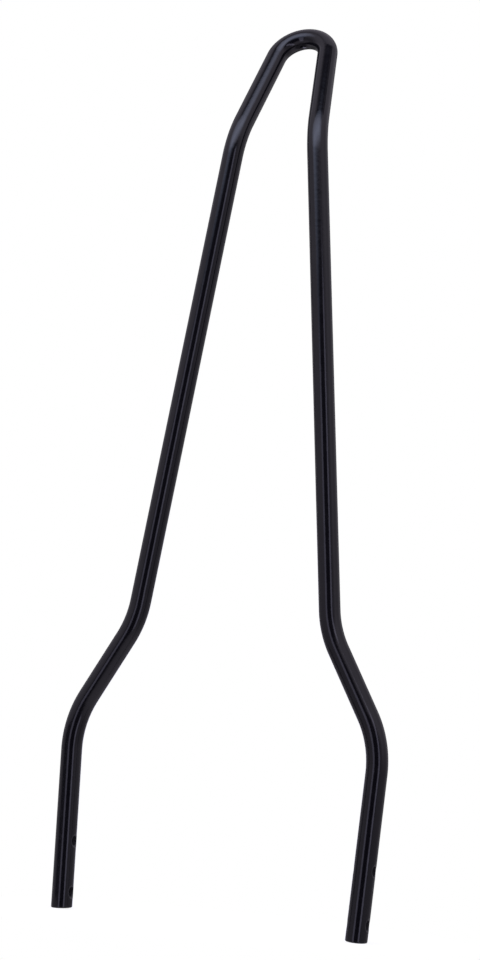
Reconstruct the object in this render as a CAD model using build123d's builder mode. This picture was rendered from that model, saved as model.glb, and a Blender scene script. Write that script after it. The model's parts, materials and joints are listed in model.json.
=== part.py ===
"""Sissy bar for a motorcycle: one round steel bar, bent to shape and drilled for its bolts.

Two splayed legs stand on either side of the rear fender, jog inwards above it, run up as a narrow
tapering frame, kick back towards the rear at the necks, and close in a tight round crown.

Frame: +Z up along the legs, +X to the right across the machine, +Y to the rear, the way the top kicks.
The origin is level with the feet, at the middle of the space that the bar takes up.
"""
import math
import os

from build123d import *

# Driving dimensions, in millimetres and degrees. A spread is measured between the two centrelines,
# and a knee, waist or neck is the corner where two straight runs of the centreline would meet.
bar_diameter = 15.875
bend_radius = 76.2
foot_spread = 236.5
knee_spread = 249.0
knee_height = 141.5
waist_spread = 158.25
waist_height = 220.5
neck_spread = 67.7
neck_height = 607.0
kick_angle = 25.0
crown_radius = 22.225
overall_height = 711.2

# The sawn ends. They are cut level with the ground for a bar that leans back by this angle, and
# saw_stock is the length that is bent too long and then cut off.
foot_cut_angle = 4.5
foot_chamfer = 0.5
saw_stock = 3.0

# Bolt holes, drilled straight across both legs. The chamfer is the depth of the countersink.
hole_diameter = 7.1
lower_hole_height = 12.7
hole_pitch = 38.1
hole_chamfer = 1.2
countersink_angle = 90.0

# The kicked-back top, measured up its slope from the necks to the middle of the crown
bar_radius = bar_diameter / 2
crown_rise = overall_height - bar_radius - neck_height
kick_length = crown_rise / math.cos(math.radians(kick_angle))
kick_reach = crown_rise * math.tan(math.radians(kick_angle))

# The two runs of the top lean in until they are tangent to the crown's arc, and would meet at its apex
crown_centre = kick_length - crown_radius
neck_to_centre = math.hypot(neck_spread / 2, crown_centre)
lean = math.acos(crown_radius / neck_to_centre) - math.atan2(crown_centre, neck_spread / 2)
apex_length = neck_spread / 2 / math.tan(lean)

# The legs stand in an upright plane, forward of the origin by half the reach of the kick
leg_plane = Plane.XZ.offset(kick_reach / 2)
leg_y = leg_plane.origin.Y
kick_plane = leg_plane.shift_origin((0, leg_y, neck_height)).rotated((-kick_angle, 0, 0))


def leg_across(height):
    """Distance of a leg's centreline from the middle, at a height below the knees."""
    return (foot_spread + (knee_spread - foot_spread) * height / knee_height) / 2


# Corners of the centreline, from the left foot up over the crown and down to the right foot
side_corners = [
    (leg_across(-saw_stock), -saw_stock),
    (knee_spread / 2, knee_height),
    (waist_spread / 2, waist_height),
    (neck_spread / 2, neck_height),
]
left_side = [leg_plane.from_local_coords((-across, height)) for across, height in side_corners]
right_side = [leg_plane.from_local_coords((across, height)) for across, height in reversed(side_corners)]
apex = kick_plane.from_local_coords((0, apex_length))
side_radii = [bend_radius] * 3

# The saw cut crosses a leg's centreline this high, so that its low front edge is level with the origin
foot_lift = (bar_radius - foot_chamfer) * math.tan(math.radians(foot_cut_angle))

# The countersink starts clear of the bar by its own depth, because the legs slope
countersink_radius = hole_diameter / 2 + 2 * hole_chamfer * math.tan(math.radians(countersink_angle / 2))
drill_depth = bar_diameter + 2 * hole_chamfer

with BuildPart() as sissy_bar:
    # The round section swept along the bent centreline
    with BuildLine() as centreline:
        FilletPolyline(*left_side, apex, *right_side, radius=[*side_radii, crown_radius, *side_radii])
    path = centreline.wire()
    with BuildSketch(Plane(origin=path @ 0, z_dir=path % 0)):
        Circle(bar_radius)
    sweep(path=path)

    # The sawn ends, with their edges broken
    for side in (-1, 1):
        leg_up = (side * (knee_spread - foot_spread) / 2, 0, knee_height)
        square_cut = Plane(origin=(side * leg_across(foot_lift), leg_y, foot_lift), z_dir=leg_up)
        with Locations(square_cut.rotated((foot_cut_angle, 0, 0))):
            Cylinder(
                radius=bar_diameter,
                height=4 * saw_stock,
                align=(Align.CENTER, Align.CENTER, Align.MAX),
                mode=Mode.SUBTRACT,
            )
    foot_faces = sissy_bar.faces().filter_by(GeomType.PLANE)
    chamfer(foot_faces.edges(), length=foot_chamfer)

    # Two bolt holes through each leg, countersunk from inside and outside
    for height in (lower_hole_height, lower_hole_height + hole_pitch):
        for side in (-1, 1):
            for facing in (-1, 1):
                mouth = side * leg_across(height) + facing * (bar_radius + hole_chamfer)
                with Locations(Plane(origin=(mouth, leg_y, height), z_dir=(facing, 0, 0))):
                    CounterSinkHole(
                        radius=hole_diameter / 2,
                        counter_sink_radius=countersink_radius,
                        depth=drill_depth,
                        counter_sink_angle=countersink_angle,
                    )

sissy_bar.part.label = "sissy_bar"

os.makedirs("parts", exist_ok=True)
export_step(sissy_bar.part, "parts/sissy_bar.step")
print(f"bar before sawing {path.length:.1f} mm, volume {sissy_bar.part.volume:.0f} mm3")
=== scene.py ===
"""The dressed sissy bar: one bent round bar in gloss black powder coat, on a plain pale floor.

Everything is in metres, in the part's own frame: +Z up along the legs, +X to the right across the machine
and +Y to the rear, the way the top kicks back.
"""
import json
import math

import bmesh
import bpy
from mathutils import Matrix, Vector


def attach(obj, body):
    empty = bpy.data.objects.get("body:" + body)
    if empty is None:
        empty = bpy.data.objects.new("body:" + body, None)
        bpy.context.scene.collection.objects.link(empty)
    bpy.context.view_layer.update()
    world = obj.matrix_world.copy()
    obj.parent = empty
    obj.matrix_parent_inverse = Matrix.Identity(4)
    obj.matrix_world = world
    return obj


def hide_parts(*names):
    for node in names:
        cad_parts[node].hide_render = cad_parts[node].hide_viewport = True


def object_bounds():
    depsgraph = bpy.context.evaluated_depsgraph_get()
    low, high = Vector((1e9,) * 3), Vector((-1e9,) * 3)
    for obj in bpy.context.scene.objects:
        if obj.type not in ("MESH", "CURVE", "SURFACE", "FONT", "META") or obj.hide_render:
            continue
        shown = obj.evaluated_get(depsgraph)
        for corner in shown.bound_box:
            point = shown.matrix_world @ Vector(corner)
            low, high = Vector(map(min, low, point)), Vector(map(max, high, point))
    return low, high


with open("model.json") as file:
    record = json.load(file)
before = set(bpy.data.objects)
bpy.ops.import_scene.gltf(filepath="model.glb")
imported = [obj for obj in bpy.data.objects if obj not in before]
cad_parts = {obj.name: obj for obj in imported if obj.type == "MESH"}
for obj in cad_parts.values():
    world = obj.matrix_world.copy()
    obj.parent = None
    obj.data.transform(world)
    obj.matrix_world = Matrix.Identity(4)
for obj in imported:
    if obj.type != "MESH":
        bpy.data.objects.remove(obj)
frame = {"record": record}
cad_low, cad_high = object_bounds()
scene = bpy.context.scene

# Driving dimensions of the bent bar, with its angles given in degrees
STEEL_RADIUS = 0.015875 / 2
BEND_RADIUS = 0.0762
FOOT_SPREAD = 0.2365
KNEE_SPREAD = 0.249
KNEE_HEIGHT = 0.1415
WAIST_SPREAD = 0.15825
WAIST_HEIGHT = 0.2205
NECK_SPREAD = 0.0677
NECK_HEIGHT = 0.607
KICK_ANGLE = math.radians(25)
CROWN_RADIUS = 0.022225
OVERALL_HEIGHT = 0.7112
FOOT_CUT_ANGLE = math.radians(4.5)
FOOT_CHAMFER = 0.0005
FOOT_LIFT = (STEEL_RADIUS - FOOT_CHAMFER) * math.tan(FOOT_CUT_ANGLE)
HOLE_CHAMFER = 0.0012

# The film of powder coat over the steel
COAT_FILM = 0.00012
BAR_RADIUS = STEEL_RADIUS + COAT_FILM

# The bolt holes and the plane of the legs, from the part's record
bolts = next(mount for mount in frame["record"]["mounts"] if mount["name"] == "right_leg_bolts")
HOLE_RADIUS = bolts["dims"]["hole_r_mm"] / 1000
HOLE_PITCH = bolts["dims"]["spacing_y_mm"] / 1000
LEG_Y = bolts["pos_m"][1]
UPPER_HOLE_HEIGHT = bolts["pos_m"][2] + HOLE_PITCH / 2
LOWER_HOLE_HEIGHT = bolts["pos_m"][2] - HOLE_PITCH / 2

# Fineness of the mesh: points around the bar, rows along it, and how far the last row is from the foot
AROUND = 64
ROW_SPACING = 0.004
BEND_STEP = math.radians(1.5)
LAST_ROW = 2 * (FOOT_LIFT + FOOT_CHAMFER)

# Cells across the patch round a hole, where its rings lie on the way in from its border to the hole's
# mouth, and how often the search for that mouth halves its range
PATCH_CELLS = 16
PATCH_HALF_LENGTH = 0.0064
PATCH_SHARES = (0.35, 0.65, 0.85)
MOUTH_HALVINGS = 40

# Rings across the flat of a foot, as shares of its radius
FOOT_SHARES = (0.7, 0.4, 0.15)

# How far the coat rounds the edges of the feet and of the holes, at most this share of a countersink
FOOT_ROUND = 0.0003
MOUTH_ROUND = 0.0004
COUNTERSINK_SHARE = 0.45
ROUND_STEPS = 5
ROUND_TURNS = [k / (ROUND_STEPS - 1) for k in range(ROUND_STEPS)]

# How thin the coat is over a hole's mouth, where its countersink ends, and round a foot, from 0 for
# the whole film to 1 for the thinnest
MOUTH_THINNESS = 1.0
BORE_EDGE_THINNESS = 0.6
FOOT_THINNESS = 0.2

# Viewpoint of the photograph: turned round the bar, looking up at it, rolled, and how far off
VIEW_YAW = math.radians(23.3845)
VIEW_PITCH = math.radians(9.1393)
VIEW_ROLL = math.radians(5.2537)
VIEW_AIM = Vector((-0.0040225, LEG_Y, 0.3320))
VIEW_DISTANCE = 1.5341714
LENS_MM = 75.6
SENSOR_MM = 36


def add_object(name, data):
    """A new object in the scene."""
    thing = bpy.data.objects.new(name, data)
    scene.collection.objects.link(thing)
    return thing


# Centreline of the right half, from the middle of the crown down to the foot


def kick_point(across, up_slope):
    """A point in the plane of the kicked-back top, from the line between the necks."""
    back = up_slope * math.sin(KICK_ANGLE)
    rise = up_slope * math.cos(KICK_ANGLE)
    return Vector((across, LEG_Y + back, NECK_HEIGHT + rise))


def leg_point(spread, height):
    """A corner of the right side's centreline in the plane of the legs."""
    return Vector((spread / 2, LEG_Y, height))


def straight_rows(start, end):
    """Stations along a straight run, without its end: each is a point and a direction."""
    run = end - start
    count = max(1, math.ceil(run.length / ROW_SPACING))
    return [(start + run * k / count, run.normalized()) for k in range(count)]


def arc_rows(start, direction, inward, radius, turn):
    """Stations along an arc that starts in a direction and bends inward, without its end."""
    count = max(2, math.ceil(turn / BEND_STEP))
    rows = []
    for k in range(count):
        angle = turn * k / count
        point = start + direction * radius * math.sin(angle) + inward * radius * (1 - math.cos(angle))
        rows.append((point, direction * math.cos(angle) + inward * math.sin(angle)))
    return rows


def crown_rows():
    """Stations of half the crown, and the point where its straight run starts."""
    kick_length = (OVERALL_HEIGHT - STEEL_RADIUS - NECK_HEIGHT) / math.cos(KICK_ANGLE)
    centre_length = kick_length - CROWN_RADIUS
    neck_to_centre = math.hypot(NECK_SPREAD / 2, centre_length)
    lean = math.acos(CROWN_RADIUS / neck_to_centre) - math.atan2(centre_length, NECK_SPREAD / 2)
    across = Vector((1, 0, 0))
    down_slope = (kick_point(0, 0) - kick_point(0, 1)).normalized()
    turn = math.pi / 2 - lean
    rows = arc_rows(kick_point(0, kick_length), across, down_slope, CROWN_RADIUS, turn)
    end = kick_point(CROWN_RADIUS * math.cos(lean), centre_length + CROWN_RADIUS * math.sin(lean))
    return rows, end


def centreline_rows():
    """Stations from the middle of the crown to the straight leg, the leg's top, and the foot's middle."""
    rows, start = crown_rows()
    neck = leg_point(NECK_SPREAD, NECK_HEIGHT)
    waist = leg_point(WAIST_SPREAD, WAIST_HEIGHT)
    knee = leg_point(KNEE_SPREAD, KNEE_HEIGHT)
    foot = Vector((leg_across(FOOT_LIFT), LEG_Y, FOOT_LIFT))
    for corner, after in ((neck, waist), (waist, knee), (knee, foot)):
        direction = (corner - start).normalized()
        leaving = (after - corner).normalized()
        turn = direction.angle(leaving)
        tangent = BEND_RADIUS * math.tan(turn / 2)
        inward = (leaving - direction * math.cos(turn)).normalized()
        bend_start = corner - direction * tangent
        rows += straight_rows(start, bend_start)
        rows += arc_rows(bend_start, direction, inward, BEND_RADIUS, turn)
        start = corner + leaving * tangent
    return rows, start, foot


# Shape of the right leg around its bolt holes

LEG_SLOPE = (KNEE_SPREAD - FOOT_SPREAD) / 2 / KNEE_HEIGHT
LEG_COS = 1 / math.hypot(1, LEG_SLOPE)


def leg_across(height):
    """Distance of the leg's centreline from the middle, at a height below the knee."""
    return FOOT_SPREAD / 2 + LEG_SLOPE * height


def leg_rows(top, foot):
    """Stations down the straight leg, closer round the holes, and the first row of each hole's patch."""
    run = top - foot
    up = run.normalized()
    upper = (UPPER_HOLE_HEIGHT - FOOT_LIFT) / LEG_COS
    lower = (LOWER_HOLE_HEIGHT - FOOT_LIFT) / LEG_COS
    stops = [
        run.length,
        upper + PATCH_HALF_LENGTH,
        upper - PATCH_HALF_LENGTH,
        lower + PATCH_HALF_LENGTH,
        lower - PATCH_HALF_LENGTH,
        LAST_ROW,
    ]
    rows = []
    patch_rows = []
    for part, (high, low) in enumerate(zip(stops, stops[1:])):
        is_patch = part % 2 == 1
        count = PATCH_CELLS if is_patch else math.ceil((high - low) / ROW_SPACING)
        if is_patch:
            patch_rows.append(len(rows))
        rows += [(foot + up * (high + (low - high) * k / count), -up) for k in range(count)]
    rows.append((foot + up * stops[-1], -up))
    return rows, patch_rows


def on_leg(facing, radius, angle, height):
    """The point on the leg's outer or inner side at a distance and an angle round a hole's axis."""
    aside = radius * math.cos(angle)
    level = height + radius * math.sin(angle)
    across = leg_across(level) + facing * math.sqrt(BAR_RADIUS ** 2 - aside ** 2) / LEG_COS
    return Vector((across, LEG_Y + aside, level))


def on_countersink(facing, radius, angle, height, deeper=0.0):
    """The point on the countersink's cone, or that far down the bore from it."""
    out = BAR_RADIUS - HOLE_CHAMFER + radius - HOLE_RADIUS - deeper
    across = leg_across(height) + facing * out
    return Vector((across, LEG_Y + radius * math.cos(angle), height + radius * math.sin(angle)))


def mouth_radius(facing, angle, height):
    """Distance from the hole's axis at which the countersink meets the leg's surface."""
    near = HOLE_RADIUS
    far = HOLE_RADIUS + 2 * HOLE_CHAMFER
    for _ in range(MOUTH_HALVINGS):
        middle = (near + far) / 2
        gap = on_leg(facing, middle, angle, height).x - on_countersink(facing, middle, angle, height).x
        if gap * facing > 0:
            near = middle
        else:
            far = middle
    return near


def rounded(start, corner, end):
    """Points of a smooth turn from one point to another, past a corner."""
    return [start * (1 - t) ** 2 + corner * 2 * t * (1 - t) + end * t ** 2 for t in ROUND_TURNS]


def mouth_line(border, facing, height):
    """Points from the border of a hole's patch over the rounded mouth and countersink into the bore."""
    aside = border.y - LEG_Y
    level = border.z - height
    angle = math.atan2(level, aside)
    reach = math.hypot(level, aside)
    mouth = mouth_radius(facing, angle, height)
    inner_round = min(MOUTH_ROUND, COUNTERSINK_SHARE * (mouth - HOLE_RADIUS))
    outer = mouth + MOUTH_ROUND
    line = [on_leg(facing, reach + (outer - reach) * share, angle, height) for share in PATCH_SHARES]
    line += rounded(
        on_leg(facing, outer, angle, height),
        on_leg(facing, mouth, angle, height),
        on_countersink(facing, mouth - inner_round, angle, height),
    )
    line += rounded(
        on_countersink(facing, HOLE_RADIUS + inner_round, angle, height),
        on_countersink(facing, HOLE_RADIUS, angle, height),
        on_countersink(facing, HOLE_RADIUS, angle, height, deeper=inner_round),
    )
    return line


# How thin the coat is at each of those points, and how far it is inside the bore
ON_THE_PATCH = [0.0] * len(PATCH_SHARES)
MOUTH_EDGES = ON_THE_PATCH + [MOUTH_THINNESS] * ROUND_STEPS + [BORE_EDGE_THINNESS] * ROUND_STEPS
MOUTH_BORES = ON_THE_PATCH + [0.0] * ROUND_STEPS + ROUND_TURNS


class HalfBar:
    """Points and faces of the right half of the bar, with marks for a thin coat and for the bores."""

    def __init__(self):
        self.points = []
        self.faces = []
        self.edges = []
        self.bores = []

    def ring(self, points, edge=0.0, bore=0.0):
        """New points with the same marks. Their numbers come back."""
        first = len(self.points)
        self.points += points
        self.edges += [edge] * len(points)
        self.bores += [bore] * len(points)
        return list(range(first, len(self.points)))

    def bridge(self, ring, other):
        """A band of faces between two rings with the same number of points."""
        for k, index in enumerate(ring):
            after = (k + 1) % len(ring)
            self.faces.append((index, ring[after], other[after], other[k]))

    def tube(self, stations, patches):
        """Rings of the round section at the stations, joined but for the cells of the holes' patches."""
        turns = [2 * math.pi * k / AROUND for k in range(AROUND)]
        rows = []
        for point, direction in stations:
            rear = Vector((0, 1, 0))
            rear = (rear - direction * rear.dot(direction)).normalized()
            side = direction.cross(rear)
            spokes = [side * math.cos(turn) + rear * math.sin(turn) for turn in turns]
            rows.append(self.ring([point + spoke * BAR_RADIUS for spoke in spokes]))
        left_open = {
            (row + j, (column + i) % AROUND)
            for row, column in patches
            for j in range(PATCH_CELLS)
            for i in range(PATCH_CELLS)
        }
        for j, (row, below) in enumerate(zip(rows, rows[1:])):
            for i in range(AROUND):
                after = (i + 1) % AROUND
                if (j, i) not in left_open:
                    self.faces.append((row[i], row[after], below[after], below[i]))
        return rows

    def hole(self, rows, first_row, columns, height):
        """One bolt hole through the leg: its outer and inner mouths, and the bore that joins them."""
        bores = []
        for facing, column in zip((1, -1), columns):
            ring = patch_border(rows, first_row, column)
            lines = [mouth_line(self.points[k], facing, height) for k in ring]
            for level, edge, bore in zip(zip(*lines), MOUTH_EDGES, MOUTH_BORES):
                inner = self.ring(list(level), edge, bore)
                self.bridge(ring, inner)
                ring = inner
            bores.append(ring)
        outer, inner = bores
        # The inner mouth's points run round the other way
        self.bridge(outer, [inner[(PATCH_CELLS - k) % len(inner)] for k in range(len(inner))])

    def foot(self, last_row, foot, up):
        """The sawn end of the leg, slanting up to the rear, with the coat rounded over its chamfer."""
        slant = FOOT_ROUND * math.sqrt(0.5)
        flat = BAR_RADIUS - FOOT_CHAMFER
        profile = rounded(
            Vector((BAR_RADIUS, FOOT_CHAMFER + FOOT_ROUND)),
            Vector((BAR_RADIUS, FOOT_CHAMFER)),
            Vector((BAR_RADIUS - slant, FOOT_CHAMFER - slant)),
        )
        profile += rounded(Vector((flat + slant, slant)), Vector((flat, 0)), Vector((flat - FOOT_ROUND, 0)))
        profile += [Vector((flat * share, 0)) for share in FOOT_SHARES]
        axis = foot + up * LAST_ROW
        spokes = [(self.points[k] - axis) / BAR_RADIUS for k in last_row]
        rays = [spoke + up * spoke.y * math.tan(FOOT_CUT_ANGLE) for spoke in spokes]
        ring = last_row
        for radius, back in profile:
            edge = FOOT_THINNESS if radius > flat - FOOT_ROUND else 0.0
            inner = self.ring([foot + up * back + ray * radius for ray in rays], edge)
            self.bridge(ring, inner)
            ring = inner
        middle = self.ring([foot])[0]
        for k, index in enumerate(ring):
            self.faces.append((index, ring[(k + 1) % AROUND], middle))


def patch_border(rows, first_row, column):
    """The points round a hole's patch of the tube, in order."""
    last_row = first_row + PATCH_CELLS
    top = [rows[first_row][(column + k) % AROUND] for k in range(PATCH_CELLS)]
    far = [rows[first_row + k][(column + PATCH_CELLS) % AROUND] for k in range(PATCH_CELLS)]
    low = [rows[last_row][(column + PATCH_CELLS - k) % AROUND] for k in range(PATCH_CELLS)]
    near = [rows[last_row - k][column % AROUND] for k in range(PATCH_CELLS)]
    return top + far + low + near


def bent_bar():
    """The whole bar as one closed mesh: the right half, and its mirror image across the crown's middle."""
    half = HalfBar()
    stations, leg_top, foot = centreline_rows()
    on_the_leg, patch_rows = leg_rows(leg_top, foot)
    patch_rows = [len(stations) + row for row in patch_rows]
    columns = (-PATCH_CELLS // 2, AROUND // 2 - PATCH_CELLS // 2)
    rows = half.tube(stations + on_the_leg, [(row, column) for row in patch_rows for column in columns])
    for row, height in zip(patch_rows, (UPPER_HOLE_HEIGHT, LOWER_HOLE_HEIGHT)):
        half.hole(rows, row, columns, height)
    half.foot(rows[-1], foot, (leg_top - foot).normalized())

    # The first ring lies on the mirror plane, and both halves share it
    count = len(half.points)
    points = half.points + [Vector((-p.x, p.y, p.z)) for p in half.points[AROUND:]]
    marks = {"coat_edge": half.edges, "coat_bore": half.bores}
    mirrored = [k if k < AROUND else k + count - AROUND for k in range(count)]
    faces = half.faces + [tuple(mirrored[k] for k in reversed(face)) for face in half.faces]

    mesh = bpy.data.meshes.new("bent_bar")
    mesh.from_pydata(points, [], faces)
    work = bmesh.new()
    work.from_mesh(mesh)
    bmesh.ops.recalc_face_normals(work, faces=work.faces)
    work.to_mesh(mesh)
    work.free()
    for name, values in marks.items():
        mesh.attributes.new(name, "FLOAT", "POINT").data.foreach_set("value", values + values[AROUND:])
    mesh.shade_smooth()
    return add_object("bent_bar", mesh)


# Shader nodes


def sine(degrees):
    """The upward share of a direction that rises by this angle."""
    return math.sin(math.radians(degrees))


def cosine(degrees):
    """The share of a direction that lies along another one, at this angle to it."""
    return math.cos(math.radians(degrees))


class Shader:
    """A node tree, with short calls for the nodes that this scene uses."""

    def __init__(self, tree):
        self.nodes = tree.nodes
        self.link = tree.links.new

    def add(self, kind, inputs=None, **settings):
        """A node with the given settings. Each input is a number, a colour or another node's output."""
        node = self.nodes.new("ShaderNode" + kind)
        for name, value in settings.items():
            setattr(node, name, value)
        for name, value in (inputs or {}).items():
            self.put(node.inputs[name], value)
        return node

    def put(self, socket, value):
        """Gives a socket its number or colour, or links another node's output to it."""
        if isinstance(value, bpy.types.NodeSocket):
            self.link(value, socket)
        else:
            socket.default_value = value

    def calc(self, operation, first, second):
        """One step of arithmetic."""
        return self.add("Math", {0: first, 1: second}, operation=operation).outputs["Value"]

    def product(self, first, *others):
        """All the values multiplied."""
        for other in others:
            first = self.calc("MULTIPLY", first, other)
        return first

    def total(self, first, *others):
        """All the values added."""
        for other in others:
            first = self.calc("ADD", first, other)
        return first

    def rest(self, share):
        """What a share leaves of the whole."""
        return self.calc("SUBTRACT", 1.0, share)

    def dot(self, vector, direction):
        """How far a vector lies along a direction."""
        return self.add("VectorMath", {0: vector, 1: direction}, operation="DOT_PRODUCT").outputs["Value"]

    def spread(self, value, low, high, to_low, to_high, interpolation="SMOOTHSTEP"):
        """The value carried from one range to another, and kept inside it."""
        inputs = {"Value": value, "From Min": low, "From Max": high, "To Min": to_low, "To Max": to_high}
        return self.add("MapRange", inputs, interpolation_type=interpolation).outputs["Result"]

    def by_rise(self, height, low, high, to_low, to_high):
        """A value that changes as a direction rises or leans aside, between two angles in degrees."""
        return self.spread(height, sine(low), sine(high), to_low, to_high)

    def by_angle(self, facing, wide, narrow, to_wide, to_narrow):
        """A value that changes as a direction nears another one, between two angles in degrees."""
        return self.spread(facing, cosine(wide), cosine(narrow), to_wide, to_narrow)

    def mix(self, share, first, second):
        """One colour turning into another."""
        node = self.add("Mix", {"Factor": share}, data_type="RGBA")
        for socket, colour in zip(node.inputs[6:8], (first, second)):
            self.put(socket, colour)
        return node.outputs[2]

    def noise(self, place, scale, detail):
        """Smooth noise from 0 to 1."""
        return self.add("TexNoise", {"Vector": place, "Scale": scale, "Detail": detail}).outputs["Fac"]


def bare_material(name):
    """A new material with no nodes yet, and its shader."""
    material = bpy.data.materials.new(name)
    material.use_nodes = True
    shader = Shader(material.node_tree)
    shader.nodes.clear()
    return material, shader


# Gloss black powder coat

COAT_COLOUR = (0.0048, 0.0044, 0.0060, 1)
THIN_COAT_COLOUR = (0.040, 0.038, 0.040, 1)
# Paler colour inside the bores: partly a thin film there, partly painted light standing in for the light
# that reaches inside the holes
BORE_FILM_AND_PAINTED_LIGHT_COLOUR = (0.035, 0.033, 0.035, 1)
COAT_IOR = 1.5

# How far the film pales as its thickness varies, and where it is thinnest
FILM_PALENESS = 0.05
EDGE_PALENESS = 0.7

# Roughness where the coat is glossiest and dullest, and what thin edges and bores add to it
GLOSSIEST = 0.09
DULLEST = 0.14
EDGE_DULLNESS = 0.08
BORE_DULLNESS = 0.35

# Waves of each noise to the metre, and heights of the orange peel and the nibs
FILM_SCALE = 60
GLOSS_SCALE = 140
PEEL_SCALE = 330
PEEL_HEIGHT = 0.000042
FINE_PEEL_SCALE = 1100
FINE_PEEL_HEIGHT = 0.000006
NIB_HEIGHT = 0.00006

# Cells to the metre that may hold a nib, its radius as a share of a cell, and the draw that it takes
NIB_SCALE = 55
NIB_RADIUS = 0.03
NIB_DRAW = 0.8


def powder_coat():
    """Glossy powder coat with orange peel and a few nibs, thin over sharp edges and dull in the bores, which
    are also paler: partly a thin film there and partly painted light inside the holes.
    """
    material = bpy.data.materials.new("gloss_black_powder_coat")
    material.use_nodes = True
    shader = Shader(material.node_tree)
    coat = shader.nodes["Principled BSDF"]
    place = shader.add("TexCoord").outputs["Object"]
    edge = shader.add("Attribute", attribute_name="coat_edge").outputs["Fac"]
    bore = shader.add("Attribute", attribute_name="coat_bore").outputs["Fac"]

    # Film thickness varies slowly along the bar, and thins over the edges
    film = shader.spread(shader.noise(place, FILM_SCALE, detail=3), 0.45, 0.75, 0.0, FILM_PALENESS)
    thin = shader.calc("MAXIMUM", film, shader.product(edge, EDGE_PALENESS))
    colour = shader.mix(thin, COAT_COLOUR, THIN_COAT_COLOUR)
    # The bores turn paler: partly a thin film, partly painted light inside the holes
    colour = shader.mix(bore, colour, BORE_FILM_AND_PAINTED_LIGHT_COLOUR)
    gloss = shader.spread(shader.noise(place, GLOSS_SCALE, detail=4), 0.3, 0.7, GLOSSIEST, DULLEST)
    edge_dullness = shader.product(edge, EDGE_DULLNESS)
    bore_dullness = shader.product(bore, BORE_DULLNESS)
    roughness = shader.total(gloss, edge_dullness, bore_dullness)

    # Orange peel in two sizes, and nibs of dust under the film in a few places
    peel = shader.product(shader.noise(place, PEEL_SCALE, detail=1), PEEL_HEIGHT)
    fine_peel = shader.product(shader.noise(place, FINE_PEEL_SCALE, detail=2), FINE_PEEL_HEIGHT)
    cells = shader.add("TexVoronoi", {"Vector": place, "Scale": NIB_SCALE}).outputs
    speck = shader.spread(cells["Distance"], 0.0, NIB_RADIUS, 1.0, 0.0)
    chosen = shader.calc("GREATER_THAN", cells["Color"], NIB_DRAW)
    nib = shader.product(speck, chosen, NIB_HEIGHT)
    bump = shader.add("Bump", {"Height": shader.total(peel, fine_peel, nib), "Distance": 1.0})

    coat.inputs["IOR"].default_value = COAT_IOR
    shader.link(colour, coat.inputs["Base Color"])
    shader.link(roughness, coat.inputs["Roughness"])
    shader.link(bump.outputs["Normal"], coat.inputs["Normal"])
    return material


# Studio

# The round floor, the share of it that the camera sees as a white glow, and how strong that glow is
FLOOR_RADIUS = 0.2
FLOOR_SEGMENTS = 96
FLOOR_COLOUR = (0.8, 0.8, 0.8, 1)
FLOOR_WHITE = 0.6
FLOOR_GLOW = 1.4

# Tints of the lights, and how the strips fade at their left, right, bottom and top edges
OVERHEAD_COLOUR = (0.81, 0.91, 1.28)
STRIP_COLOUR = (0.91, 0.88, 1.21)
STRIP_FADES = (0.15, 0.15, 0.1, 0.11)

# The grey card, with its azimuth in degrees
CARD_COLOUR = (0.22, 0.22, 0.22, 1)
CARD_AZIMUTH = -65
CARD_DISTANCE = 0.12
CARD_WIDTH = 0.075
CARD_HEIGHT = 0.15

# Glow of the walls at their foot, what they gain upwards at the back and in front, and the ceiling's glow
WALL_COLOUR = (1.04, 0.97, 1.16, 1)
WALL_LEVEL = 0.26
BACK_GAIN = 0.16
FRONT_GAIN = 0.34
CEILING_LEVEL = 0.53

# What the floor gains on the foot of the walls, and loses straight below the bar
FLOOR_GAIN = 0.20
BELOW_LOSS = 0.30

# Shares of the glow that the dark parts of the studio lose
RIGHT_GAP_LOSS = 0.7
BACK_LOSS = 0.7
CAMERA_LOSS = 0.96
RIM_LOSS = 0.93
ARM_LOSS = 0.8

# The share of the white backdrop that the bar mirrors
BACKDROP_IN_GLOSS = 0.1


def studio_direction(azimuth, elevation):
    """A direction from the bar, in degrees from the photograph's viewpoint to its right, and upwards."""
    turn = VIEW_YAW + math.radians(azimuth)
    rise = math.radians(elevation)
    return Vector((math.sin(turn) * math.cos(rise), -math.cos(turn) * math.cos(rise), math.sin(rise)))


def softbox(name, aim, azimuth, elevation, distance, size, radiance, colour, turns, fades, top_level=1.0):
    """A soft rectangular light that faces the bar, and is then turned about its own axes, in degrees.

    A radiance of 1 looks white. The fades are shares of its width at the left and right edges and of its
    height at the bottom and top edges, and its glow falls to top_level between the bottom fade and the top.
    """
    lamp = bpy.data.lights.new(name, "AREA")
    lamp.shape = "RECTANGLE"
    lamp.size, lamp.size_y = size
    lamp.energy = math.pi * lamp.size * lamp.size_y * radiance
    lamp.color = colour
    lamp.use_nodes = True
    shader = Shader(lamp.node_tree)
    place = shader.add("SeparateXYZ", {"Vector": shader.add("NewGeometry").outputs["Parametric"]}).outputs
    left, right, bottom, top = fades
    glow = shader.spread(place["Y"], bottom, 1.0, 1.0, top_level, "LINEAR")
    for axis, low, high in (("X", left, right), ("Y", bottom, top)):
        fade_in = shader.spread(place[axis], 0.0, low, 0.0, 1.0)
        fade_out = shader.spread(place[axis], 1.0 - high, 1.0, 1.0, 0.0)
        glow = shader.product(glow, fade_in, fade_out)
    shader.link(glow, shader.nodes["Emission"].inputs["Strength"])
    direction = studio_direction(azimuth, elevation)
    turn = direction.to_track_quat("Z", "Y").to_matrix()
    for axis, degrees in zip("XYZ", turns):
        turn = turn @ Matrix.Rotation(math.radians(degrees), 3, axis)
    light = add_object(name, lamp)
    light.visible_camera = False
    light.matrix_world = Matrix.Translation(aim + direction * distance) @ turn.to_4x4()


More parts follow.
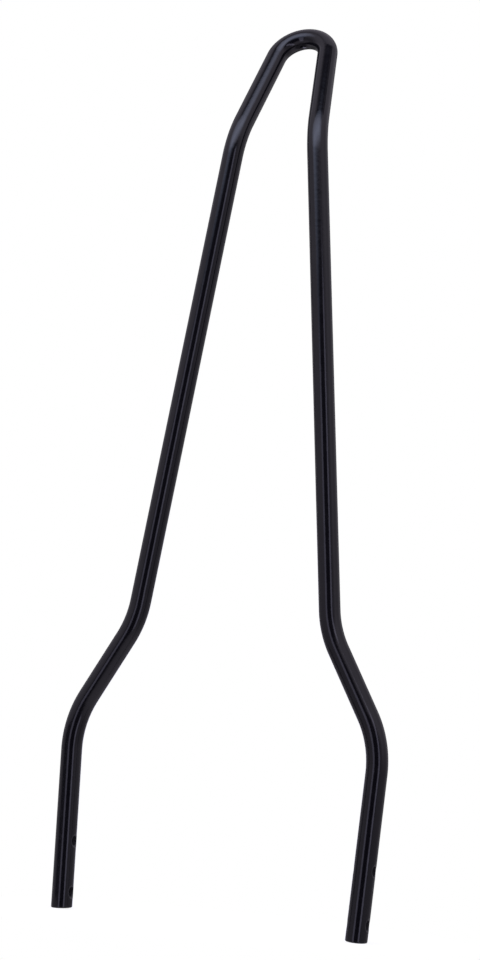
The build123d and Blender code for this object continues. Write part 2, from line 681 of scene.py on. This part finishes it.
def studio_lights():
    """A large softbox overhead in front, an upright strip on either side and a short one close behind."""
    softbox(
        "overhead",
        aim=Vector((0, LEG_Y, NECK_HEIGHT)),
        azimuth=-1.7,
        elevation=46.4,
        distance=1.2,
        size=(2.52, 1.24),
        radiance=2.08,
        colour=OVERHEAD_COLOUR,
        turns=(3.6, -21.7, 14.8),
        fades=(0.23, 0.47, 0.49, 0.13),
        top_level=0.2,
    )
    for name, azimuth, middle, distance, size, radiance, lean in (
        ("left_strip", -36, 0.16, 1.6, (0.55, 1.52), 0.92, 0),
        ("right_strip", 19.8, 0.33, 1.5, (0.44, 1.67), 1.2, 3),
        ("back_strip", 180, 0.10, 0.45, (0.12, 0.60), 1.4, 0),
    ):
        aim = Vector((0, LEG_Y, middle))
        softbox(name, aim, azimuth, 0, distance, size, radiance, STRIP_COLOUR, (0, 0, lean), STRIP_FADES)


def studio_glow(shader, direction):
    """How brightly the studio glows in each direction from the bar."""
    height = shader.dot(direction, (0, 0, 1))
    level = shader.add("VectorMath", {0: direction, 1: (1, 1, 0)}, operation="MULTIPLY").outputs["Vector"]
    bearing = shader.add("VectorMath", {0: level}, operation="NORMALIZE").outputs["Vector"]

    # Walls brighten upwards, most in front but not beside the right strip
    front = shader.dot(bearing, studio_direction(-9, 0))
    gain = shader.by_angle(front, 105, 60, BACK_GAIN, FRONT_GAIN)
    rise = shader.by_rise(height, -8, 28, 0.0, 1.0)
    under = shader.by_rise(height, 19, 29, 1.0, 0.0)
    gap = shader.by_angle(shader.dot(bearing, studio_direction(35, 0)), 20, 6, 0.0, RIGHT_GAP_LOSS)
    rise = shader.product(rise, shader.rest(shader.product(gap, under)))
    walls = shader.total(shader.product(gain, rise), WALL_LEVEL)

    # The floor is paler than the foot of the walls, and dark straight below the bar
    floor_gain = shader.by_rise(height, -40, -15, FLOOR_GAIN, 0.0)
    below = shader.calc("SUBTRACT", floor_gain, shader.by_rise(height, -65, -48, BELOW_LOSS, 0.0))

    # The ceiling is the same grey all over
    top = shader.by_rise(height, 45, 66, 0.0, 1.0)
    to_ceiling = shader.calc("SUBTRACT", CEILING_LEVEL, walls)
    walls = shader.total(walls, shader.product(top, to_ceiling))

    # The wall behind the bar is dark on either side of the back strip
    back = shader.by_angle(shader.dot(bearing, studio_direction(180, 0)), 48, 28, 0.0, BACK_LOSS)
    back = shader.product(back, shader.by_rise(height, 40, 58, 1.0, 0.0))
    walls = shader.product(walls, shader.rest(back))

    # The space round the camera and between the strips is dark
    beside = shader.by_angle(front, 43, 33, 0.0, CAMERA_LOSS)
    over = shader.by_rise(height, -28, -16, 0.0, 1.0)
    dark = shader.product(under, over, beside)

    # The overhead softbox has a dark rim along its far edge, and a dark arm at the right end of it
    from_rim = shader.dot(direction, studio_direction(180, 50.4))
    across = shader.dot(direction, studio_direction(90, 0))
    rim = shader.product(
        shader.by_angle(from_rim, 54, 48, RIM_LOSS, 0.0),
        shader.by_angle(from_rim, 72, 61, 0.0, 1.0),
        shader.by_rise(across, -42, -14, 0.0, 1.0),
        shader.by_rise(across, 22, 28, 1.0, 0.0),
    )
    from_arm = shader.dot(direction, studio_direction(74.6, 59.9))
    arm = shader.by_angle(from_arm, 8, 3, 0.0, ARM_LOSS)
    rim = shader.calc("MAXIMUM", rim, arm)

    return shader.product(shader.total(walls, below), shader.rest(dark), shader.rest(rim))


def studio_world():
    """The grey studio that the bar mirrors, with a white backdrop for the camera and behind the bar."""
    world = bpy.data.worlds.new("studio")
    scene.world = world
    world.use_nodes = True
    shader = Shader(world.node_tree)
    shader.nodes.clear()
    direction = shader.add("TexCoord").outputs["Generated"]
    studio = shader.add("Background", {"Color": WALL_COLOUR, "Strength": studio_glow(shader, direction)})

    # White for the camera and for what shows through, and in part for what the bar mirrors from behind it
    paths = shader.add("LightPath").outputs
    white = shader.add("Background", {"Color": (1, 1, 1, 1), "Strength": 1.0})
    behind = shader.spread(shader.dot(direction, studio_direction(180, 0)), 0.1, 0.7, 0.0, BACKDROP_IN_GLOSS)
    mirrored = shader.product(paths["Is Glossy Ray"], behind)
    seen = shader.total(paths["Is Camera Ray"], paths["Is Transmission Ray"], mirrored)
    mix = shader.add("MixShader", {0: seen, 1: studio.outputs["Background"], 2: white.outputs["Background"]})
    shader.add("OutputWorld", {"Surface": mix.outputs["Shader"]})


def floor_material():
    """Pale matt floor that the camera sees as nearly white, with the bar's shadow left on it."""
    material, shader = bare_material("pale_floor")
    matt = shader.add("BsdfDiffuse", {"Color": FLOOR_COLOUR})
    white = shader.add("Emission", {"Strength": FLOOR_GLOW})
    share = shader.product(shader.add("LightPath").outputs["Is Camera Ray"], FLOOR_WHITE)
    mix = shader.add("MixShader", {0: share, 1: matt.outputs["BSDF"], 2: white.outputs["Emission"]})
    shader.add("OutputMaterial", {"Surface": mix.outputs["Shader"]})
    return material


def studio_floor():
    """A round pale floor under the feet."""
    mesh = bpy.data.meshes.new("floor")
    work = bmesh.new()
    bmesh.ops.create_circle(work, cap_ends=True, segments=FLOOR_SEGMENTS, radius=FLOOR_RADIUS)
    bmesh.ops.translate(work, verts=work.verts, vec=(0, 0, cad_low.z))
    work.to_mesh(mesh)
    work.free()
    mesh.materials.append(floor_material())
    floor = add_object("floor", mesh)
    floor.visible_glossy = False


def card_material():
    """Matt grey card."""
    material, shader = bare_material("grey_card")
    matt = shader.add("BsdfDiffuse", {"Color": CARD_COLOUR})
    shader.add("OutputMaterial", {"Surface": matt.outputs["BSDF"]})
    return material


def grey_card():
    """A card that stands to the left of the left leg, and shows only as a dark band in the leg's gloss."""
    left_foot = Vector((-leg_across(0), LEG_Y, cad_low.z))
    middle = left_foot + studio_direction(CARD_AZIMUTH, 0) * CARD_DISTANCE
    along = studio_direction(CARD_AZIMUTH + 90, 0) * CARD_WIDTH / 2
    up = Vector((0, 0, CARD_HEIGHT))
    corners = [middle - along, middle + along, middle + along + up, middle - along + up]
    mesh = bpy.data.meshes.new("grey_card")
    mesh.from_pydata(corners, [], [(0, 1, 2, 3)])
    mesh.materials.append(card_material())
    card = add_object("grey_card", mesh)
    card.visible_camera = False
    card.visible_diffuse = False
    card.visible_transmission = False
    card.visible_shadow = False


def photo_camera():
    """The camera at the photograph's viewpoint."""
    forward = Vector((
        -math.sin(VIEW_YAW) * math.cos(VIEW_PITCH),
        math.cos(VIEW_YAW) * math.cos(VIEW_PITCH),
        math.sin(VIEW_PITCH),
    ))
    level_right = Vector((math.cos(VIEW_YAW), math.sin(VIEW_YAW), 0))
    level_up = level_right.cross(forward)
    right = level_right * math.cos(VIEW_ROLL) + level_up * math.sin(VIEW_ROLL)
    up = level_up * math.cos(VIEW_ROLL) - level_right * math.sin(VIEW_ROLL)
    data = bpy.data.cameras.new("photo_camera")
    data.lens = LENS_MM
    data.sensor_width = SENSOR_MM
    camera = add_object("photo_camera", data)
    turn = Matrix((right, up, -forward)).transposed()
    camera.matrix_world = Matrix.Translation(VIEW_AIM - forward * VIEW_DISTANCE) @ turn.to_4x4()
    scene.camera = camera


bar = bent_bar()
bar.data.materials.append(powder_coat())
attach(bar, "root")
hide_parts("sissy_bar")

studio_floor()
grey_card()
studio_lights()
studio_world()
photo_camera()
scene.view_settings.view_transform = "Standard"
